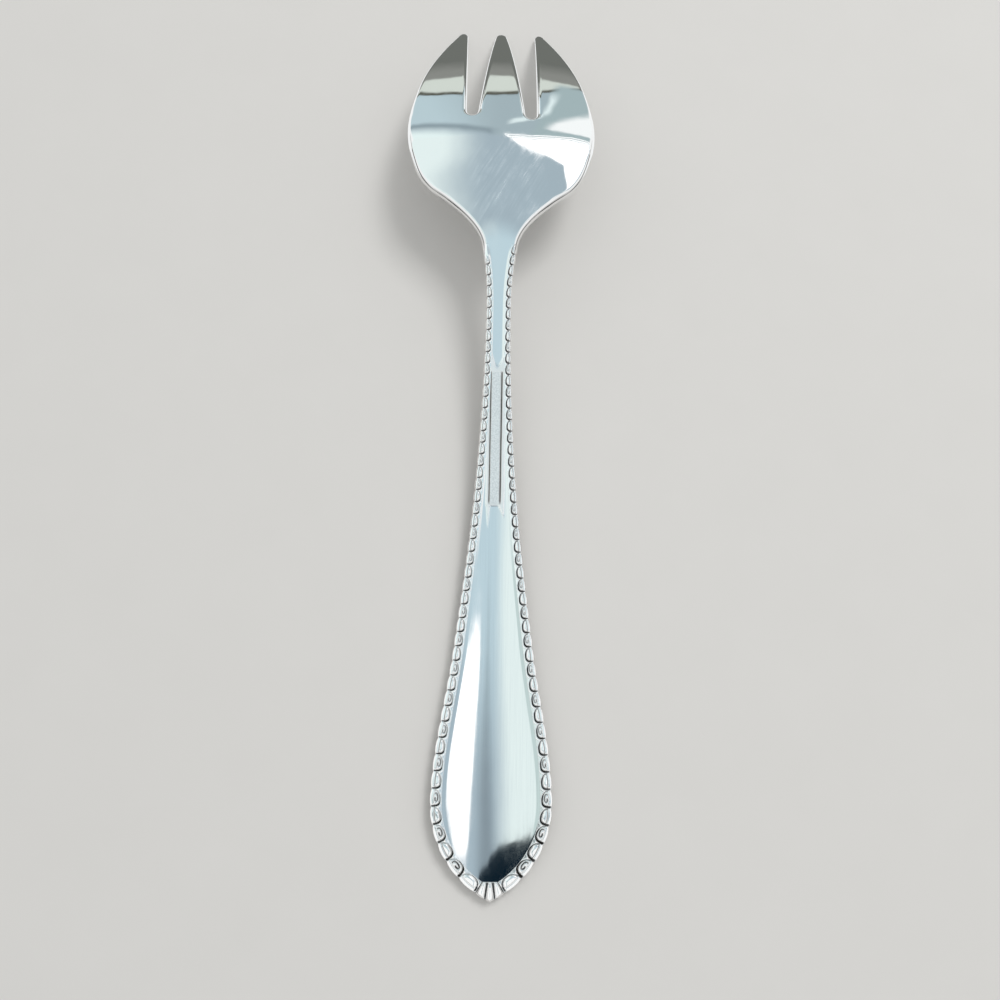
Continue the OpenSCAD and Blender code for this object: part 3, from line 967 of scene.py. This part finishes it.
# Finish of the steel: scales of its noise per metre, the spans of it that show, and its tones
WAVES = (120.0, 80.0, 80.0)
CLOUDS = (420.0, 260.0, 260.0)
CLOUD_TURN = 0.3
PITS = (3600.0,) * 3
STREAK_SPAN = (0.35, 0.7)
PATCH_SPAN = (0.35, 0.6)
GLOSS_SPAN = (0.3, 0.7)
PIT_SPAN = (0.4, 0.6)
TARNISH_SHADE_SPAN = (0.2, 0.8, 0.85, 1.15)
TARNISH_SHADE_DULL = 0.3
SATIN_DULL = 0.4
SATIN_TONE = rgb(0.97, 0.96, 0.95)
PIT_TONE = rgb(0.4, 0.42, 0.42)
PIT_SHARE = 0.28


def point_value(tree, name):
    """Value that the points of a mesh carry."""
    return add(tree, "Attribute", attribute_name=name).outputs["Fac"]


def tarnish_and_shade(tree, point, cloud, tone, gloss, tarnish_shade_tone):
    """Tone and roughness with dark grooves, tarnish and painted shade, and with the satin and the grain
    of the panel.
    """
    groove = both(tree, point_value(tree, "groove"), ranged(tree, cloud, *TARNISH_SHADE_SPAN))
    groove = maths(tree, "MINIMUM", groove, 1.0)
    gloss = maths(tree, "MULTIPLY_ADD", groove, TARNISH_SHADE_DULL, gloss)
    satin = point_value(tree, "satin")
    gloss = maths(tree, "MULTIPLY_ADD", satin, SATIN_DULL, gloss)
    tone = blend(tree, satin, tone, SATIN_TONE)
    pits = ranged(tree, stretched_noise(tree, point, 0.0, PITS, 2.0), *PIT_SPAN, 0.0, PIT_SHARE)
    tone = blend(tree, both(tree, point_value(tree, "grain"), pits), tone, PIT_TONE)
    return blend(tree, groove, tone, tarnish_shade_tone), gloss


def steel(name, rough, streak, wave_depth, area, tarnish_shade_tone=None):
    """Polished steel: streaks over an area, faint waves, cloudy gloss and darker grooves."""
    material, tree, point = new_material(name)
    place_x, place_y, _ = add(tree, "SeparateXYZ", {0: point}).outputs
    marks = stretched_noise(tree, point, streak["turn"], streak["scale"], 4.0)
    wave = stretched_noise(tree, point, 0.0, WAVES, 2.0)
    cloud = stretched_noise(tree, point, CLOUD_TURN, CLOUDS, 5.0)
    cover = zone(tree, area, place_y, place_y, away(tree, place_x, STREAK_MIDDLE))
    patchy = both(tree, cover, ranged(tree, cloud, *PATCH_SPAN, streak["least"], 1.0))
    shine = both(tree, ranged(tree, marks, *STREAK_SPAN, 0.0, 1.0), patchy)
    tone = blend(tree, shine, streak["base"], streak["tone"])
    gloss = ranged(tree, cloud, *GLOSS_SPAN, *rough)
    gloss = maths(tree, "MULTIPLY_ADD", shine, streak["dull"], gloss)
    if tarnish_shade_tone:
        tone, gloss = tarnish_and_shade(tree, point, cloud, tone, gloss, tarnish_shade_tone)
    waves = add(tree, "Bump", {"Height": wave, "Distance": wave_depth}).outputs[0]
    relief = {"Height": both(tree, marks, cover), "Distance": streak["depth"], "Normal": waves}
    bump = add(tree, "Bump", relief).outputs[0]
    metal = {"Base Color": tone, "Metallic": 1.0, "Roughness": gloss, "Normal": bump}
    set_surface(tree, "BsdfPrincipled", metal)
    return material


# Streaks: where they begin and end along Y and reach aside, in metres, and how they look
STREAK_MIDDLE = 0.001
WHOLE = ((-0.2, -0.19), (0.2, 0.19), (0.1, 0.09))
HANDLE_PART = ((-0.096, -0.08), (-0.005, -0.03), (0.1, 0.09))
BOWL_PART = ((0.034, 0.042), (0.063, 0.05), (0.011, 0.004))
LENGTHWISE = {"turn": 0.0, "scale": (3200.0, 70.0, 70.0), "least": 1.0, "base": rgb(0.89, 0.89, 0.89),
              "tone": rgb(0.85, 0.855, 0.86), "dull": 0.03, "depth": 0.8e-6}
# Paler copy of the lengthwise finish for the borders: painted light, so that the beads look whiter than
# the field
LIT_LENGTHWISE = {**LENGTHWISE, "base": rgb(0.99, 0.985, 0.98), "tone": rgb(0.95, 0.945, 0.94), "dull": 0.04}
SLANTING = {"turn": 0.5, "scale": (1900.0, 90.0, 90.0), "least": 0.3, "base": rgb(0.89, 0.89, 0.89),
            "tone": rgb(0.96, 0.96, 0.96), "dull": 0.26, "depth": 4e-6}
field_metal = steel("field_metal", (0.03, 0.06), LENGTHWISE, 1.0e-5, HANDLE_PART, rgb(0.07, 0.065, 0.06))
# The grooves of the borders and the fan darken to near black: tarnish and painted shade
border_metal = steel("border_metal", (0.1, 0.17), LIT_LENGTHWISE, 2e-6, WHOLE, rgb(0.022, 0.02, 0.018))
head_metal = steel("head_metal", (0.03, 0.06), SLANTING, 5e-5, BOWL_PART)


# The pieces of the fork
WALL_STRIP = 2 * (CROSS_STEPS + 1) + EDGE_POINTS - 1
# The borders' grooves carry painted shade, stronger on the right border than on the left
rings, shade = border_rings(0, RIGHT_GROOVE_SHADE)
piece = skin("right_border_metal", rings, None, (WALL_STRIP,), {"groove": shade})
dress(piece, "right_border", border_metal)
rings, shade = border_rings(SMOOTH_BEADS, LEFT_GROOVE_SHADE)
flipped, order = mirrored(rings)
piece = skin("left_border_metal", flipped, None, (CROSS_STEPS,), {"groove": shade[:, order]})
dress(piece, "left_border", border_metal)
rings, shade = shell_rings()
piece = skin("tip_shell_metal", rings, None, (WALL_STRIP,), {"groove": shade})
dress(piece, "tip_shell", border_metal)
piece = field_piece("handle_metal", 0, STEM_NOTCH, HANDLE_ROWS, HANDLE_COLUMNS)
dress(piece, "handle", field_metal)
piece = field_piece("stem_metal", STEM_NOTCH, BEAD_COUNT, STEM_ROWS, STEM_COLUMNS)
dress(piece, "stem", field_metal)
dress(head_piece("bowl_metal", bowl_ring, bowl_places()), "bowl", head_metal)
for side, ring_at in (("left", left_tine_ring), ("middle", middle_tine_ring), ("right", right_tine_ring)):
    piece = head_piece(side + "_tine_metal", ring_at, tine_places())
    dress(piece, side + "_tine", head_metal)


# Floor
FLOOR_HALF = 6.0
FLOOR_GRAIN = (60.0,) * 3
FLOOR_TONES = (rgb(0.62, 0.61, 0.59), rgb(0.64, 0.63, 0.61))


def floor_material():
    material, tree, point = new_material("floor_paper")
    tone = blend(tree, stretched_noise(tree, point, 0.0, FLOOR_GRAIN, 3.0), *FLOOR_TONES)
    paper = {"Base Color": tone, "Roughness": 0.9, "Specular IOR Level": 0.0}
    set_surface(tree, "BsdfPrincipled", paper)
    return material


def flat_piece(name, corners, material):
    """One flat face of the setting, which is no part of the fork."""
    mesh = bpy.data.meshes.new(name)
    mesh.from_pydata(corners, [], [tuple(range(len(corners)))])
    mesh.materials.append(material)
    piece = new_object(name, mesh)
    return piece


def span(low_x, high_x, low_y, high_y):
    """Corners of a rectangle."""
    return [(low_x, low_y), (high_x, low_y), (high_x, high_y), (low_x, high_y)]


def laid(height, corners):
    """Corners of a level face at a height."""
    return [(x, y, height) for x, y in corners]


flat_piece("floor", laid(0.0, span(-FLOOR_HALF, FLOOR_HALF, -FLOOR_HALF, FLOOR_HALF)), floor_material())


# Light: a pale room, and cards that only the polish of the metal shows
ROOM_LEVEL = 0.78
SKY_RISE = (0.06, 0.5)
SKY_TONES = (rgb(0.45, 0.45, 0.44), rgb(0.99, 1.0, 1.0))
KEY_AT = Vector((0.5, 0.5, 1.1))
KEY_SIZE = 0.5
KEY_LEVEL = 0.41


def world_light():
    """Pale room. Only the metal and the camera see its full brightness."""
    world = bpy.data.worlds.new("room")
    bpy.context.scene.world = world
    tree = nodes_of(world)
    direction = add(tree, "TexCoord").outputs["Generated"]
    height = add(tree, "SeparateXYZ", {0: direction}).outputs[2]
    sky = blend(tree, soft(tree, height, *SKY_RISE), *SKY_TONES)
    path = add(tree, "LightPath").outputs
    seen = maths(tree, "MAXIMUM", path["Is Glossy Ray"], path["Is Transmission Ray"])
    seen = maths(tree, "MAXIMUM", path["Is Camera Ray"], seen)
    strength = ranged(tree, seen, 0.0, 1.0, ROOM_LEVEL, 1.0)
    set_surface(tree, "Background", {"Color": sky, "Strength": strength}, "OutputWorld")


def key_light():
    """Soft lamp for the floor, aimed at the middle of the fork. The metal doesn't show it."""
    light = bpy.data.lights.new("key", "AREA")
    light.size = KEY_SIZE
    light.energy = KEY_LEVEL * math.pi * math.pi * KEY_AT.length ** 2
    lamp = new_object("key", light)
    lamp.location = KEY_AT
    lamp.rotation_mode = "QUATERNION"
    lamp.rotation_quaternion = (-KEY_AT).to_track_quat("-Z", "Y")
    lamp.visible_camera = False
    lamp.visible_glossy = False


def glow(name, paint):
    """Evenly shining material whose colour is painted over X, Y and Z in metres."""
    material, tree, point = new_material(name)
    colour = paint(tree, *add(tree, "SeparateXYZ", {0: point}).outputs)
    set_surface(tree, "Emission", {"Color": colour, "Strength": 1.0})
    return material


def card(name, corners, paint):
    """Card that shows in polished metal and throws neither light nor shadow on the floor."""
    piece = flat_piece(name, corners, glow(name, paint))
    piece.visible_camera = False
    piece.visible_diffuse = False
    piece.visible_shadow = False


# Ceiling, painted over X and Y. Pairs: places in metres where something comes in, or slope and offset
CEILING_Z = 0.6
CEILING_SPAN = (-0.75, 0.75, -0.9, 0.75)
TIP_TO_STEM = (-0.07, 0.0)
STEM_TO_HEAD = (0.03, 0.16)
HANDLE_TONES = (rgb(0.42, 0.53, 0.6), rgb(0.56, 0.72, 0.79))
HEAD_BLUE = rgb(0.4, 0.5, 0.56)
DASH_AT = (0.28, 0.053)
DASH_HALF = (-0.66, 0.01)
DASH_SHARE = (-0.06, 0.0, 0.36, 0.1)
DASH_END = (0.005, -0.005)
BLACK = rgb(0.0, 0.0, 0.0)
BY_HANDLE = (0.02, -0.08)
NEAR_BOWL = (-0.05, -0.42)
FAR_BOWL = (-0.04, -0.3)
NEAR_TO_FAR = (0.4, 0.6)
HANDLE_TO_BOWL = (0.06, 0.16)
CEILING_PALE = rgb(0.86, 0.98, 0.97)
SIDE = ((-0.16, -0.2), (0.01, -0.01))
SIDE_TONE = rgb(0.6, 0.73, 0.72)
BACK_MIDDLE = 0.01
BACK = ((0.02, 0.14), (-0.13, -0.2))
RIGHT = ((0.18, 0.26), (-0.005, 0.015))
WIDE_X = (0.5, 0.58)
WIDE_Y = (0.2, 0.1)
CEILING_WHITE = rgb(0.98, 1.0, 1.0)


def dark_dash(tree, x, y):
    """Share of the dark line above the handle, which is wider and darker toward the tip."""
    off = away(tree, x, maths(tree, "MULTIPLY_ADD", y, *DASH_AT))
    off = maths(tree, "DIVIDE", off, maths(tree, "MULTIPLY_ADD", y, *DASH_HALF))
    dash = both(tree, soft(tree, off, 1.0, 0.0), ranged(tree, y, *DASH_SHARE))
    return both(tree, dash, soft(tree, y, *DASH_END))


def pale_left(tree, x, y):
    """Share of the pale left of the ceiling, which comes in more slowly above the bowl."""
    near_bowl = soft(tree, x, *NEAR_BOWL)
    far_bowl = soft(tree, x, *FAR_BOWL)
    by_bowl = ranged(tree, soft(tree, y, *NEAR_TO_FAR), 0.0, 1.0, near_bowl, far_bowl)
    by_handle = soft(tree, x, *BY_HANDLE)
    return ranged(tree, soft(tree, y, *HANDLE_TO_BOWL), 0.0, 1.0, by_handle, by_bowl)


def ceiling_paint(tree, x, y, z):
    """Blue-grey, brightest above the stem, pale to the left, with a dark line above the handle."""
    tone = blend(tree, soft(tree, y, *TIP_TO_STEM), *HANDLE_TONES)
    tone = blend(tree, soft(tree, y, *STEM_TO_HEAD), tone, HEAD_BLUE)
    tone = blend(tree, dark_dash(tree, x, y), tone, BLACK)
    tone = blend(tree, pale_left(tree, x, y), tone, CEILING_PALE)
    tone = blend(tree, zone(tree, SIDE, x, y), tone, SIDE_TONE)
    back = zone(tree, BACK, away(tree, x, BACK_MIDDLE), y)
    right = zone(tree, RIGHT, x, y)
    wide = maths(tree, "MAXIMUM", soft(tree, maths(tree, "ABSOLUTE", x), *WIDE_X), right)
    white = maths(tree, "MAXIMUM", back, both(tree, wide, soft(tree, y, *WIDE_Y)))
    return blend(tree, white, tone, CEILING_WHITE)


# Wall in front of the tines, painted over X and Z in the same way
FRONT_Y = 1.2
FRONT_SPAN = (-1.4, 1.4, -0.01, 1.12)
GREY_RISE = (-0.02, 0.12)
LOW_GREY = rgb(0.165, 0.175, 0.16)
HIGH_GREY = rgb(0.27, 0.28, 0.26)
CREAM_FROM = (0.165, 0.19)
CREAM = rgb(0.7, 0.76, 0.7)
ARCH_MIDDLE = -0.06
ARCH_BEND = 1.03
ARCH_FROM = (0.35, 0.375)
ARCH_TO = (0.39, 0.4)
ARCH_TONE = rgb(0.1, 0.1, 0.08)
WALL_LEFT = (0.05, -0.4)
WALL_TONES = (rgb(0.4, 0.5, 0.54), rgb(0.53, 0.67, 0.72))
CORNER = ((0.24, 0.29), (0.17, 0.24))
CORNER_TONE = rgb(0.4, 0.51, 0.53)
EDGE_SLANT = -0.345
EDGE_LEFT = (0.02, -0.06)
EDGE_RISE = (0.85, 1.0)
DIP = ((0.8, 0.9), (1.02, 0.91), EDGE_LEFT)
DIP_TONE = rgb(0.29, 0.37, 0.41)
PALE = ((0.88, 1.14), (-0.04, -0.5))
PALE_TONE = rgb(0.86, 1.0, 0.99)
STREAK_AT = 0.28
STREAK = ((0.035, 0.0), (0.27, 0.38), (0.6, 0.52))
BRANCH_SLANT = 0.81
BRANCH_AT = 0.785
BRANCH = ((0.06, 0.015), (0.04, 0.12), (0.3, 0.25))
STREAK_TONE = rgb(0.82, 0.95, 0.96)
PANE_SLANT = 1.4
PANE = ((1.06, 1.22), (0.81, 0.77), (0.3, 0.4))
PANE_TONE = rgb(1.02, 1.06, 1.06)
LOW_SIDES = ((0.52, 0.6), (0.45, 0.38))
HIGH_SIDES = (0.72, 0.85)
FRONT_WHITE = rgb(1.0, 1.02, 1.02)


def front_bands(tree, x, z):
    """Grey low down, a cream band, a dark arched line over it, then a blue-grey wall."""
    off = maths(tree, "SUBTRACT", x, ARCH_MIDDLE)
    arch = maths(tree, "MULTIPLY_ADD", both(tree, off, off), ARCH_BEND, z)
    tone = blend(tree, soft(tree, z, *GREY_RISE), LOW_GREY, HIGH_GREY)
    tone = blend(tree, soft(tree, z, *CREAM_FROM), tone, CREAM)
    tone = blend(tree, soft(tree, arch, *ARCH_FROM), tone, ARCH_TONE)
    wall = blend(tree, soft(tree, x, *WALL_LEFT), *WALL_TONES)
    return blend(tree, soft(tree, arch, *ARCH_TO), tone, wall)


def front_left(tree, x, z, tone):
    """Upper left of the wall: a darker dip along a slanting edge, then pale."""
    edge = maths(tree, "MULTIPLY_ADD", x, EDGE_SLANT, z)
    beyond = blend(tree, soft(tree, edge, *EDGE_RISE), tone, HEAD_BLUE)
    tone = blend(tree, soft(tree, x, *EDGE_LEFT), tone, beyond)
    tone = blend(tree, zone(tree, DIP, edge, edge, x), tone, DIP_TONE)
    return blend(tree, zone(tree, PALE, edge, x), tone, PALE_TONE)


def front_streaks(tree, x, z):
    """Share of two bright streaks on the right, one upright and one that slants."""
    streak = zone(tree, STREAK, away(tree, x, STREAK_AT), z, z)
    slant = maths(tree, "MULTIPLY_ADD", x, BRANCH_SLANT, z)
    branch = zone(tree, BRANCH, away(tree, slant, BRANCH_AT), x, x)
    return maths(tree, "MAXIMUM", streak, branch)


def front_paint(tree, x, y, z):
    """Bands low down, a wall that grows pale to the left, bright streaks and a pane, and white sides."""
    tone = front_bands(tree, x, z)
    tone = blend(tree, zone(tree, CORNER, x, z), tone, CORNER_TONE)
    tone = front_left(tree, x, z, tone)
    tone = blend(tree, front_streaks(tree, x, z), tone, STREAK_TONE)
    slant = maths(tree, "MULTIPLY_ADD", x, PANE_SLANT, z)
    tone = blend(tree, zone(tree, PANE, slant, z, x), tone, PANE_TONE)
    aside = maths(tree, "ABSOLUTE", x)
    low = zone(tree, LOW_SIDES, aside, z)
    white = maths(tree, "MAXIMUM", low, soft(tree, aside, *HIGH_SIDES))
    return blend(tree, white, tone, FRONT_WHITE)


# Small cards: a bright strip, a window with two bars, a dark screen over the tip, tables and flags
GLARE = rgb(1.4, 1.42, 1.42)
UNEVEN = (-0.3, 0.3, 0.96, 1.04)
STRIP_Z = 0.59
STRIP = (
    (0.108, -0.0828), (0.1415, -0.0828), (0.163, -0.078), (0.18, -0.071), (0.193, -0.065),
    (0.205, -0.057), (0.212, -0.043), (0.204, -0.0295), (0.186, -0.0195), (0.134, -0.012),
    (0.102, -0.014), (0.0955, -0.0205), (0.0925, -0.03), (0.089, -0.046), (0.088, -0.057),
    (0.0945, -0.07), (0.0985, -0.078),
)
WINDOW_AT = 0.55
BAR_AT = WINDOW_AT - 0.001
HEAD_AT = Vector((0.0, 0.06, 0.015))
WINDOW_RAYS = (
    (0.023, 0.772, 0.635), (0.197, 0.646, 0.738), (0.422, 0.574, 0.702), (0.47, 0.24, 0.85),
    (0.62, 0.3, 0.72), (0.62, 0.6, 0.5), (0.389, 0.738, 0.552), (0.218, 0.76, 0.613),
)
WINDOW_FACING = Vector((0.3, 0.68, 0.67))
BAR_EDGE = ((0.06, 0.77, 0.632), *WINDOW_RAYS[:4:-1])
BARS = ((0.006, 0.008), (0.022, 0.005))
BAR_TONE = rgb(0.5, 0.58, 0.6)
SCREEN_Z = 0.2
SCREEN_Y = -0.09
SCREEN_LEAN = -1.14
SCREEN_TONE = rgb(0.003, 0.012, 0.022)
SCREEN = (
    (-0.085, -0.081), (-0.0464, -0.0842), (-0.0347, -0.0855), (-0.0183, -0.0867), (-0.0053, -0.0874),
    (0.0044, -0.0896), (0.0075, -0.0915), (0.0137, -0.0926), (0.0171, -0.0935), (0.02, -0.1),
    (-0.085, -0.1),
)
HANDLE_MIDDLE = 0.005
TIP_RAY = 0.06
PALE_TABLE = (-0.9, 0.9, 0.068, FRONT_Y)
PALE_TABLE_Z = 0.0001
GREY_TABLE_Z = 2 * PALE_TABLE_Z
GREY_TABLE = ((-0.035, 0.1032), (0.035, 0.1032), (0.45, FRONT_Y), (-0.45, FRONT_Y))
FLAG_X = 0.22
FLAG_SPAN = (-0.16, 0.16, 0.0, 0.035)
FLAG_TONE = rgb(0.05, 0.05, 0.05)


def plain_paint(colour):
    """Nearly even colour, a little uneven so that a card isn't flat."""
    def paint(tree, x, y, z):
        return blend(tree, ranged(tree, maths(tree, "ADD", x, y), *UNEVEN), BLACK, colour)
    return paint


def window_corners(rays, at):
    """Corners of a card parallel to the window, from the directions in which the head shows it."""
    reach = at * WINDOW_FACING.length
    facing = WINDOW_FACING.normalized()
    return [tuple(HEAD_AT + Vector(ray) * (reach / Vector(ray).dot(facing))) for ray in rays]


def bar_rays(inset, depth):
    """Directions round a thin bar along the window's far edge."""
    near = [(x, y - inset, z + inset) for x, y, z in BAR_EDGE]
    far = [(x, y - inset - depth, z + inset + depth) for x, y, z in BAR_EDGE]
    return near + far[::-1]


def leaning(corners):
    """Corners of the screen over the tip. It leans, so that the head sees no more than its edge."""
    leant = []
    for x, y in corners:
        rise = SCREEN_LEAN * (y - SCREEN_Y)
        leant.append((x + (x - HANDLE_MIDDLE) * rise / SCREEN_Z, y + TIP_RAY * rise, SCREEN_Z + rise))
    return leant


world_light()
key_light()
card("ceiling", laid(CEILING_Z, span(*CEILING_SPAN)), ceiling_paint)
card("front", [(x, FRONT_Y, z) for x, z in span(*FRONT_SPAN)], front_paint)
card("strip", laid(STRIP_Z, STRIP), plain_paint(GLARE))
card("window", window_corners(WINDOW_RAYS, WINDOW_AT), plain_paint(GLARE))
for inset, depth in BARS:
    card("window_bar", window_corners(bar_rays(inset, depth), BAR_AT), plain_paint(BAR_TONE))
card("screen", leaning(SCREEN), plain_paint(SCREEN_TONE))
card("pale_table", laid(PALE_TABLE_Z, span(*PALE_TABLE)), plain_paint(FRONT_WHITE))
card("front_table", laid(GREY_TABLE_Z, GREY_TABLE), plain_paint(LOW_GREY))
for side in (-1, 1):
    card("flag", [(side * FLAG_X, y, z) for y, z in span(*FLAG_SPAN)], plain_paint(FLAG_TONE))


# Camera, placed in millimetres
CAMERA_AT = (-4.73, -84.2, 209.16)
CAMERA_TILT = math.radians(17.0)
CAMERA_YAW = math.radians(5.24)
CAMERA_ROLL = math.radians(6.18)
LENS = 36.0
SENSOR = 36.0


def camera():
    """Camera of the photograph: tilted from straight down, a little turned and rolled."""
    forward = Vector((
        math.sin(CAMERA_YAW) * math.sin(CAMERA_TILT),
        math.cos(CAMERA_YAW) * math.sin(CAMERA_TILT),
        -math.cos(CAMERA_TILT),
    ))
    sideways = Vector((math.cos(CAMERA_YAW), -math.sin(CAMERA_YAW), 0.0))
    upward = sideways.cross(forward)
    right = sideways * math.cos(CAMERA_ROLL) + upward * math.sin(CAMERA_ROLL)
    up = right.cross(forward)
    data = bpy.data.cameras.new("camera")
    data.lens = LENS
    data.sensor_width = SENSOR
    data.clip_start = 0.01
    view = new_object("camera", data)
    turn = Matrix((right, up, -forward)).transposed().to_4x4()
    view.matrix_world = Matrix.Translation(Vector(CAMERA_AT) * MM) @ turn
    bpy.context.scene.camera = view


camera()
bpy.context.scene.view_settings.view_transform = "Standard"
